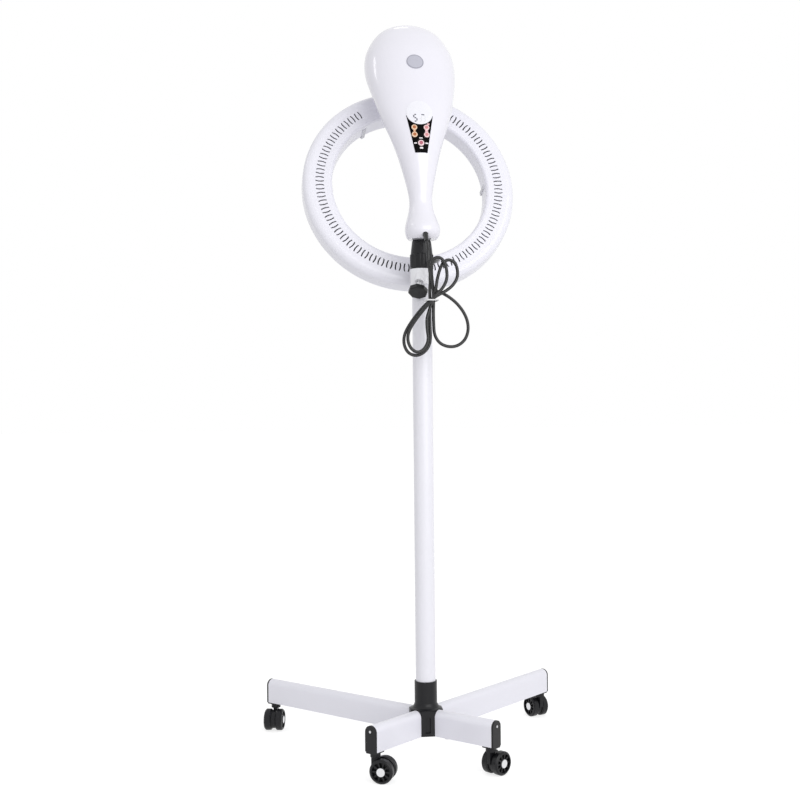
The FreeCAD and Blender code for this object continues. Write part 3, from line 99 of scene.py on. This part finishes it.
# Middle, radius in millimetres, ink and record slot of each button's coloured centre.
BUTTON_CENTRES = {
    "power_button": (-11.7, 12.6, 3.3, "ink_brown", "button_orange"),
    "time_button": (-11.7, -2.2, 3.3, "ink_brown", "button_orange"),
    "heat_button": (11.7, 12.6, 3.2, "ink_rose", "button_pink"),
    "speed_button": (11.7, -2.2, 3.2, "ink_rose", "button_pink"),
    "stop_button": (0, -19.3, 3.6, "ink_mauve", "button_red"),
}

# Heading in degrees and length in metres of each leg.
LEG_ENDS = {
    "front_left": (132, 0.418),
    "front_right": (42, 0.418),
    "rear_left": (222, 0.164),
    "rear_right": (312, 0.164),
}
# The screw in each end cap: its height above the floor in metres, its radius in millimetres.
CAP_SCREW_HEIGHT = 0.092
CAP_SCREW_RADIUS = 2.4

# Inner and outer radius of the rim on the badge, in millimetres.
BADGE_RIM = (15.2, 16.5)

# The world's strength on the object, and the floor's shade and own glow to the camera.
WORLD_LIGHT = 0.69
FLOOR_SHADE = 0.45
FLOOR_GLOW = 0.73

# Where most of a noise texture's values lie.
NOISE_LOW = 0.3
NOISE_HIGH = 0.7


# ------------------------------------------------------------------ camera
def make_camera():
    data = bpy.data.cameras.new("camera")
    data.sensor_width = 36
    data.lens = CAMERA_LENS
    data.shift_x, data.shift_y = CAMERA_SHIFT
    data.clip_end = 50
    cam = bpy.data.objects.new("camera", data)
    scene.collection.objects.link(cam)
    heading = math.radians(CAMERA_HEADING)
    view = Vector((math.sin(heading), math.cos(heading), 0))
    turn = Matrix.Rotation(-heading, 4, "Z") @ Matrix.Rotation(math.pi / 2, 4, "X")
    turn = turn @ Matrix.Rotation(math.radians(CAMERA_ROLL), 4, "Z")
    place = Vector((0, 0, CAMERA_HEIGHT)) - view * CAMERA_DISTANCE
    cam.matrix_world = Matrix.Translation(place) @ turn
    scene.camera = cam


# ------------------------------------------------------------------ materials
class Shader:
    """A node material with a Principled shader and short calls for the nodes that feed it."""

    def __init__(self, name, colour, roughness, metallic=0.0, coat=0.0, specular=0.5):
        self.name = name
        self.mat = bpy.data.materials.new(name)
        self.mat.use_nodes = True
        self.tree = self.mat.node_tree
        self.shader = self.tree.nodes["Principled BSDF"]
        self.set("Base Color", (*colour, 1))
        self.set("Roughness", roughness)
        self.set("Metallic", metallic)
        self.set("Coat Weight", coat)
        self.set("Coat Roughness", 0.06)
        self.set("Specular IOR Level", specular)
        self.colour = colour
        self.roughness = roughness
        self.height = None
        self.coords = self.node("ShaderNodeTexCoord").outputs["Object"]

    def set(self, name, value):
        self.shader.inputs[name].default_value = value

    def node(self, kind, **props):
        made = self.tree.nodes.new(kind)
        for key, value in props.items():
            setattr(made, key, value)
        return made

    def link(self, source, target):
        self.tree.links.new(source, target)

    def noise(self, scale, detail=3.0, stretch=(1, 1, 1)):
        """Noise in metres of the object's space: scale is features per metre."""
        mapping = self.node("ShaderNodeMapping")
        mapping.inputs["Scale"].default_value = stretch
        self.link(self.coords, mapping.inputs["Vector"])
        noise = self.node("ShaderNodeTexNoise")
        noise.inputs["Scale"].default_value = scale
        noise.inputs["Detail"].default_value = detail
        self.link(mapping.outputs["Vector"], noise.inputs["Vector"])
        return noise.outputs["Fac"]

    def ramp(self, source, low, high, out_low, out_high):
        """The source's range from low to high, spread over another range."""
        ranged = self.node("ShaderNodeMapRange")
        ranged.inputs["From Min"].default_value = low
        ranged.inputs["From Max"].default_value = high
        ranged.inputs["To Min"].default_value = out_low
        ranged.inputs["To Max"].default_value = out_high
        self.link(source, ranged.inputs["Value"])
        return ranged.outputs["Result"]

    def mottle(self, scale, amount):
        """Slow variation of the colour, through a Mix node's colour sockets 6, 7 and 2."""
        share = self.ramp(self.noise(scale), NOISE_LOW, NOISE_HIGH, 0, 1)
        mix = self.node("ShaderNodeMix", data_type="RGBA")
        dark = [c * (1 - amount) for c in self.colour]
        mix.inputs[6].default_value = (*dark, 1)
        mix.inputs[7].default_value = (*self.colour, 1)
        self.link(share, mix.inputs[0])
        self.link(mix.outputs[2], self.shader.inputs["Base Color"])
        return self

    def smudge(self, scale, spread):
        """Variation of the roughness, as handling and moulding leave."""
        low = self.roughness - spread
        high = self.roughness + spread
        rough = self.ramp(self.noise(scale, 4), NOISE_LOW, NOISE_HIGH, low, high)
        self.link(rough, self.shader.inputs["Roughness"])
        return self

    def grain(self, scale, distance, strength=0.4, stretch=(1, 1, 1), detail=3.0):
        """Bump of the surface's own grain."""
        bump = self.node("ShaderNodeBump")
        bump.inputs["Strength"].default_value = strength
        bump.inputs["Distance"].default_value = distance
        self.link(self.noise(scale, detail, stretch), bump.inputs["Height"])
        if self.height is not None:
            self.link(self.height, bump.inputs["Normal"])
        self.height = bump.outputs["Normal"]
        self.link(self.height, self.shader.inputs["Normal"])
        return self


def glossy(name, colour, roughness=0.2, coat=0.5):
    """Moulded plastic: even colour, a hint of orange peel and uneven polish."""
    shader = Shader(name, colour, roughness, coat=coat)
    return shader.mottle(5, 0.012).smudge(30, 0.03).grain(160, 0.00003, 0.12, detail=1.0)


def matte(name, colour, roughness=0.5, grain=500, specular=0.3):
    """Textured plastic, rubber or ceramic."""
    shader = Shader(name, colour, roughness, specular=specular)
    return shader.mottle(60, 0.2).smudge(120, 0.06).grain(grain, 0.00008, 0.35)


def painted(name, colour, roughness):
    """Baked enamel on a drawn tube, with the faint ripple of the steel below."""
    shader = Shader(name, colour, roughness, coat=0.3)
    return shader.mottle(4, 0.012).smudge(18, 0.03).grain(120, 0.00003, 0.1, (1, 1, 0.3), 1.0)


def metal(name, colour, roughness=0.25, stretch=(1, 1, 1)):
    shader = Shader(name, colour, roughness, metallic=1)
    return shader.smudge(80, 0.06).grain(600, 0.00003, 0.25, stretch)


def film(name, colour, roughness=0.25, specular=0.3):
    """Printed film or ink: flat, with slight pooling and scuffing."""
    shader = Shader(name, colour, roughness, specular=specular)
    return shader.mottle(400, 0.06).smudge(90, 0.04).grain(300, 0.00002, 0.1)


def make_materials():
    made = [
        glossy("shell_white", (0.83, 0.82, 0.89), 0.2, 0.6),
        glossy("ring_white", (0.84, 0.835, 0.905), 0.28, 0.3),
        matte("black_plastic", (0.007, 0.007, 0.009), 0.36),
        glossy("collar_white", (0.90, 0.90, 0.94), 0.3, 0.3),
        painted("leg_paint", (0.83, 0.825, 0.895), 0.34),
        painted("pole_paint", (0.82, 0.815, 0.875), 0.3),
        metal("mast_chrome", (0.82, 0.82, 0.84), 0.12, (1, 1, 0.05)),
        matte("caster_black", (0.006, 0.006, 0.008), 0.4),
        matte("wheel_grey", (0.007, 0.007, 0.009), 0.36),
        metal("caster_steel", (0.72, 0.72, 0.74), 0.3),
        metal("screw_steel", (0.6, 0.6, 0.62), 0.3),
        matte("frame_steel", (0.05, 0.05, 0.055), 0.5),
        film("panel_black", (0.001, 0.001, 0.0012), 0.35, 0.04),
        film("display_glass", (0.87, 0.87, 0.93), 0.18, 0.5),
        film("badge_film", (0.52, 0.52, 0.60), 0.2, 0.5),
        matte("board_green", (0.02, 0.14, 0.05), 0.35),
        metal("motor_metal", (0.55, 0.55, 0.57), 0.35),
        matte("bearing_plastic", (0.55, 0.54, 0.48), 0.5),
        matte("cord_black", (0.005, 0.005, 0.006), 0.26, 900, 0.5),
        metal("pin_brass", (0.78, 0.72, 0.5), 0.22),
        matte("tie_white", (0.75, 0.75, 0.76), 0.5),
        metal("reflector_metal", (0.75, 0.75, 0.77), 0.2),
        matte("quartz", (0.75, 0.72, 0.68), 0.3, 600, 0.6),
        matte("holder_ceramic", (0.80, 0.80, 0.84), 0.5),
        metal("guard_wire", (0.7, 0.7, 0.72), 0.2),
        glossy("button_orange", (0.83, 0.60, 0.42), 0.35, 0.2),
        glossy("button_pink", (0.86, 0.62, 0.62), 0.35, 0.2),
        glossy("button_red", (0.86, 0.66, 0.68), 0.35, 0.2),
        film("ink_brown", (0.44, 0.14, 0.04)),
        film("ink_rose", (0.66, 0.26, 0.28)),
        film("ink_mauve", (0.45, 0.12, 0.17)),
        film("ink_tan", (0.72, 0.44, 0.27)),
        film("ink_pink", (0.84, 0.52, 0.55)),
        film("ink_white", (0.82, 0.78, 0.80)),
        film("ink_navy", (0.03, 0.035, 0.07)),
        film("ink_ghost", (0.74, 0.75, 0.76)),
        film("ink_grey", (0.34, 0.34, 0.40)),
        # Painted shade: this black stands for the shade inside the ring's cavity, seen through the vent
        # slots.
        matte("shade_sheet_black", (0.004, 0.004, 0.005), 0.6, 500, 0.1),
    ]
    return {shader.name: shader.mat for shader in made}


def dress(materials):
    """Each CAD node in the material of its own slot."""
    for part in frame["record"]["subparts"]:
        obj = nodes[part["node"]]
        obj.data.materials.clear()
        obj.data.materials.append(materials[part["material_slot"]])


# ------------------------------------------------------------------ cord
def make_cord(materials):
    curve = bpy.data.curves.new("mains_lead", "CURVE")
    curve.dimensions = "3D"
    curve.bevel_depth = CORD_DIAMETER / 2
    curve.bevel_resolution = 6
    curve.resolution_u = 12
    curve.use_fill_caps = True
    spline = curve.splines.new("NURBS")
    points = [CORD_EXIT] + CORD_ROUTE
    spline.points.add(len(points) - 1)
    for point, place in zip(spline.points, points):
        point.co = (*place, 1)
    spline.order_u = 3
    spline.use_endpoint_u = True
    lead = bpy.data.objects.new("mains_lead", curve)
    scene.collection.objects.link(lead)
    curve.materials.append(materials["cord_black"])
    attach(lead, "head")
    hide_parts("power_cord")


# ------------------------------------------------------------------ laid prints
def skin_tree(names):
    """The surface of these CAD nodes, for laying pieces on."""
    corners = []
    faces = []
    for name in names:
        mesh = nodes[name].data
        first = len(corners)
        corners += [vertex.co.copy() for vertex in mesh.vertices]
        faces += [[first + i for i in face.vertices] for face in mesh.polygons]
    return BVHTree.FromPolygons(corners, faces)


def closed_mesh(name, tops, bottoms, faces):
    """A thin closed piece from a patch of faces, its top corners and its bottom corners."""
    count = len(tops)
    polygons = list(faces) + [[i + count for i in reversed(face)] for face in faces]
    edges = {pair for face in faces for pair in zip(face, face[1:] + face[:1])}
    polygons += [[b, a, a + count, b + count] for a, b in sorted(edges) if (b, a) not in edges]
    mesh = bpy.data.meshes.new(name)
    mesh.from_pydata([*tops, *bottoms], [], polygons)
    mesh.validate()
    piece = bpy.data.objects.new(name, mesh)
    scene.collection.objects.link(piece)
    return piece


def finish_piece(piece, body, material):
    piece.data.materials.append(material)
    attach(piece, body)


def laid_piece(name, frame_at, patch, tree, body, material, height=INK_HEIGHT):
    """A patch in a frame's X and Y, in millimetres, laid on the skin below it."""
    out = frame_at.to_3x3() @ Vector((0, 0, 1))
    seen = {}
    hits = []
    faces = []
    for outline in patch:
        face = []
        for x, y in outline:
            key = (round(x, 4), round(y, 4))
            if key not in seen:
                seen[key] = len(hits)
                start = frame_at @ Vector((x / 1000, y / 1000, CAST_FROM))
                hits.append(tree.ray_cast(start, -out)[0])
            face.append(seen[key])
        faces.append(face)
    tops = [hit + out * height for hit in hits]
    bottoms = [hit - out * SKIN_BITE for hit in hits]
    finish_piece(closed_mesh(name, tops, bottoms, faces), body, material)


def around(x, y, radius, step, steps):
    """A point on a circle, the same for step 0 and the last one."""
    angle = 2 * math.pi * (step % steps) / steps
    return (x + radius * math.cos(angle), y + radius * math.sin(angle))


def annulus(x, y, inner, outer, steps=40):
    """A flat ring of four-sided faces."""
    return [
        [around(x, y, inner, i, steps), around(x, y, outer, i, steps),
         around(x, y, outer, i + 1, steps), around(x, y, inner, i + 1, steps)]
        for i in range(steps)
    ]


def disc(x, y, radius, steps=40):
    """A fan inside a ring, so that it follows a curved skin."""
    core = radius / 2
    fan = [[(x, y), around(x, y, core, i, steps), around(x, y, core, i + 1, steps)] for i in range(steps)]
    return fan + annulus(x, y, core, radius, steps)


def bar(x0, y0, x1, y1, width, cells=5):
    """A straight bar between two points, in short cells so that it follows a curved skin."""
    along = Vector((x1 - x0, y1 - y0))
    side = Vector((-along.y, along.x)).normalized() * width / 2
    stops = [Vector((x0, y0)) + along * i / cells for i in range(cells + 1)]
    return [
        [tuple(a - side), tuple(b - side), tuple(b + side), tuple(a + side)]
        for a, b in zip(stops, stops[1:])
    ]


def digit(shown, x, y, width, height, stroke):
    """The bars of a seven-part digit, a to g, about its lower left corner."""
    gap = stroke * 0.6
    middle = y + height / 2
    right = x + width
    top = y + height
    bars = {
        "a": (x + gap, top, right - gap, top),
        "b": (right, middle + gap, right, top - gap),
        "c": (right, y + gap, right, middle - gap),
        "d": (x + gap, y, right - gap, y),
        "e": (x, y + gap, x, middle - gap),
        "f": (x, middle + gap, x, top - gap),
        "g": (x + gap, middle, right - gap, middle),
    }
    return [cell for part in shown for cell in bar(*bars[part], stroke)]


def make_panel_prints(materials):
    skin = skin_tree(["control_panel", "display_window", "rear_shell", "front_shell"])
    shown = digit("afgcd", -11.6, 25.3, 5.6, 14.2, 2.0)
    idle_left = digit("bcdg", -1.2, 25.0, 4.4, 12.4, 1.3)
    idle_right = digit("abcdg", 6.0, 25.0, 4.4, 12.4, 1.3)
    prints = [
        ("display_digit", shown, "ink_navy", "panel_black"),
        ("display_dash", bar(3.0, 39.4, 8.8, 39.4, 1.7), "ink_navy", "panel_black"),
        ("display_idle_digit_left", idle_left, "ink_ghost", "display_glass"),
        ("display_idle_digit_right", idle_right, "ink_ghost", "display_glass"),
        ("link_left", bar(-11.7, 8.2, -11.7, 2.4, 4.0), "ink_tan", "button_orange"),
        ("link_right", bar(11.7, 8.2, 11.7, 2.4, 5.6), "ink_pink", "button_pink"),
        ("link_display", bar(14.6, 17.2, 16.6, 22.6, 4.4), "ink_pink", "button_pink"),
        ("mark_above", bar(-3.2, -9.6, 3.2, -9.6, 2.2), "ink_white", "tie_white"),
        ("mark_below", bar(-2.8, -29.4, 3.4, -29.4, 3.6), "ink_white", "tie_white"),
        ("mark_left", bar(-13.4, -19.6, -8.2, -19.6, 2.6), "ink_white", "tie_white"),
        ("mark_right", bar(8.2, -19.6, 14.2, -19.6, 2.6), "ink_white", "tie_white"),
    ]
    for name, patch, ink, slot in prints:
        laid_piece(name, PANEL, patch, skin, "head", materials[ink])


def make_button_centres(materials):
    for button, (x, y, radius, ink, slot) in BUTTON_CENTRES.items():
        name = button + "_centre"
        tree = skin_tree([button])
        patch = disc(x, y, radius)
        laid_piece(name, PANEL, patch, tree, button, materials[ink], CENTRE_HEIGHT)


def make_cap_screws(materials):
    caps = skin_tree(["leg_end_caps"])
    steel = materials["screw_steel"]
    for corner, (angle, reach) in LEG_ENDS.items():
        heading = Matrix.Rotation(math.radians(angle), 4, "Z")
        out = heading @ Matrix.Translation((reach, 0, CAP_SCREW_HEIGHT))
        face = out @ Matrix.Rotation(math.pi / 2, 4, "Y") @ Matrix.Rotation(math.pi / 2, 4, "Z")
        name = corner + "_cap_screw"
        patch = disc(0, 0, CAP_SCREW_RADIUS, 24)
        laid_piece(name, face, patch, caps, "stand", steel, CAP_SCREW_RISE)


def make_badge_rim(materials):
    badge = skin_tree(["badge_disc"])
    patch = annulus(0, 0, *BADGE_RIM, 64)
    laid_piece("badge_rim", BADGE, patch, badge, "head", materials["ink_grey"])


# ------------------------------------------------------------------ ring
def make_vent_shade_sheet(materials):
    """Painted shade: a dark sheet behind the vent slots, standing for the shade inside the cavity, open
    at the plain stretch: metres and degrees.
    """
    inner, outer = 0.1700, 0.1965
    low, high = 0.0182, 0.0192
    start, turn, steps = 120.5, 299, 180
    corners = []
    for height in (high, low):
        for step in range(steps + 1):
            angle = math.radians(start + turn * step / steps)
            for radius in (inner, outer):
                place = (radius * math.cos(angle), radius * math.sin(angle), height)
                corners.append(RING @ Vector(place))
    half = len(corners) // 2
    faces = [[2 * i, 2 * i + 1, 2 * i + 3, 2 * i + 2] for i in range(steps)]
    shade_sheet = closed_mesh("vent_shade_sheet", corners[:half], corners[half:], faces)
    finish_piece(shade_sheet, "ring", materials["shade_sheet_black"])


# ------------------------------------------------------------------ stage
def light_path_share(tree):
    """1 for rays that show the background: the camera's, reflected and passing through glass."""
    path = tree.nodes.new("ShaderNodeLightPath")
    share = path.outputs["Is Camera Ray"]
    for name in ("Is Glossy Ray", "Is Transmission Ray"):
        most = tree.nodes.new("ShaderNodeMath")
        most.operation = "MAXIMUM"
        tree.links.new(share, most.inputs[0])
        tree.links.new(path.outputs[name], most.inputs[1])
        share = most.outputs[0]
    return share


def floor_material():
    """White to the camera, keeping a soft shadow, and plain pale grey to the light."""
    mat = bpy.data.materials.new("floor_white")
    mat.use_nodes = True
    tree = mat.node_tree
    tree.nodes.clear()
    plain = tree.nodes.new("ShaderNodeBsdfDiffuse")
    plain.inputs["Color"].default_value = (0.85, 0.85, 0.86, 1)
    shaded = tree.nodes.new("ShaderNodeBsdfDiffuse")
    shaded.inputs["Color"].default_value = (FLOOR_SHADE, FLOOR_SHADE, FLOOR_SHADE, 1)
    glow = tree.nodes.new("ShaderNodeEmission")
    glow.inputs["Strength"].default_value = FLOOR_GLOW
    seen = tree.nodes.new("ShaderNodeAddShader")
    mix = tree.nodes.new("ShaderNodeMixShader")
    out = tree.nodes.new("ShaderNodeOutputMaterial")
    tree.links.new(shaded.outputs[0], seen.inputs[0])
    tree.links.new(glow.outputs[0], seen.inputs[1])
    tree.links.new(light_path_share(tree), mix.inputs[0])
    tree.links.new(plain.outputs[0], mix.inputs[1])
    tree.links.new(seen.outputs[0], mix.inputs[2])
    tree.links.new(mix.outputs[0], out.inputs["Surface"])
    return mat


def make_floor():
    reach = 40
    mesh = bpy.data.meshes.new("floor")
    corners = [(-reach, -reach, 0), (reach, -reach, 0), (reach, reach, 0), (-reach, reach, 0)]
    mesh.from_pydata(corners, [], [(0, 1, 2, 3)])
    floor = bpy.data.objects.new("floor", mesh)
    scene.collection.objects.link(floor)
    mesh.materials.append(floor_material())


def make_world():
    """Plain white to the camera, and a softer light on the object."""
    world = bpy.data.worlds.new("studio")
    scene.world = world
    world.use_nodes = True
    tree = world.node_tree
    background = tree.nodes["Background"]
    strength = tree.nodes.new("ShaderNodeMapRange")
    strength.inputs["To Min"].default_value = WORLD_LIGHT
    strength.inputs["To Max"].default_value = 1.0
    tree.links.new(light_path_share(tree), strength.inputs["Value"])
    background.inputs["Color"].default_value = (1, 1, 1, 1)
    tree.links.new(strength.outputs["Result"], background.inputs["Strength"])


def area_light(name, place, target, size, power):
    """A lamp of size metres at a place, facing a target, with its power in watts."""
    data = bpy.data.lights.new(name, "AREA")
    data.shape = "RECTANGLE"
    data.size, data.size_y = size
    data.energy = power
    lamp = bpy.data.objects.new(name, data)
    scene.collection.objects.link(lamp)
    way = Vector(target) - Vector(place)
    turn = way.to_track_quat("-Z", "Y").to_matrix().to_4x4()
    lamp.matrix_world = Matrix.Translation(place) @ turn


def make_lights():
    """A broad soft key, and two small windows that show as highlights on the bulb."""
    area_light("key", (1.0, -2.8, 1.8), (0, 0, 0.9), (3.0, 3.0), 52)
    area_light("left_window", (-2.0, 0.44, 2.9), (-0.08, 0.08, 1.34), (0.22, 0.4), 1.2)
    area_light("top_window", (0.13, 1.4, 3.55), (0, 0.1, 1.43), (0.4, 0.12), 0.5)


make_camera()
materials = make_materials()
make_cord(materials)
dress(materials)
make_panel_prints(materials)
make_button_centres(materials)
make_cap_screws(materials)
make_badge_rim(materials)
# Painted shade: a dark sheet behind the vent slots, in place of the cavity's shade.
make_vent_shade_sheet(materials)
make_floor()
make_world()
make_lights()

scene.view_settings.view_transform = "Standard"
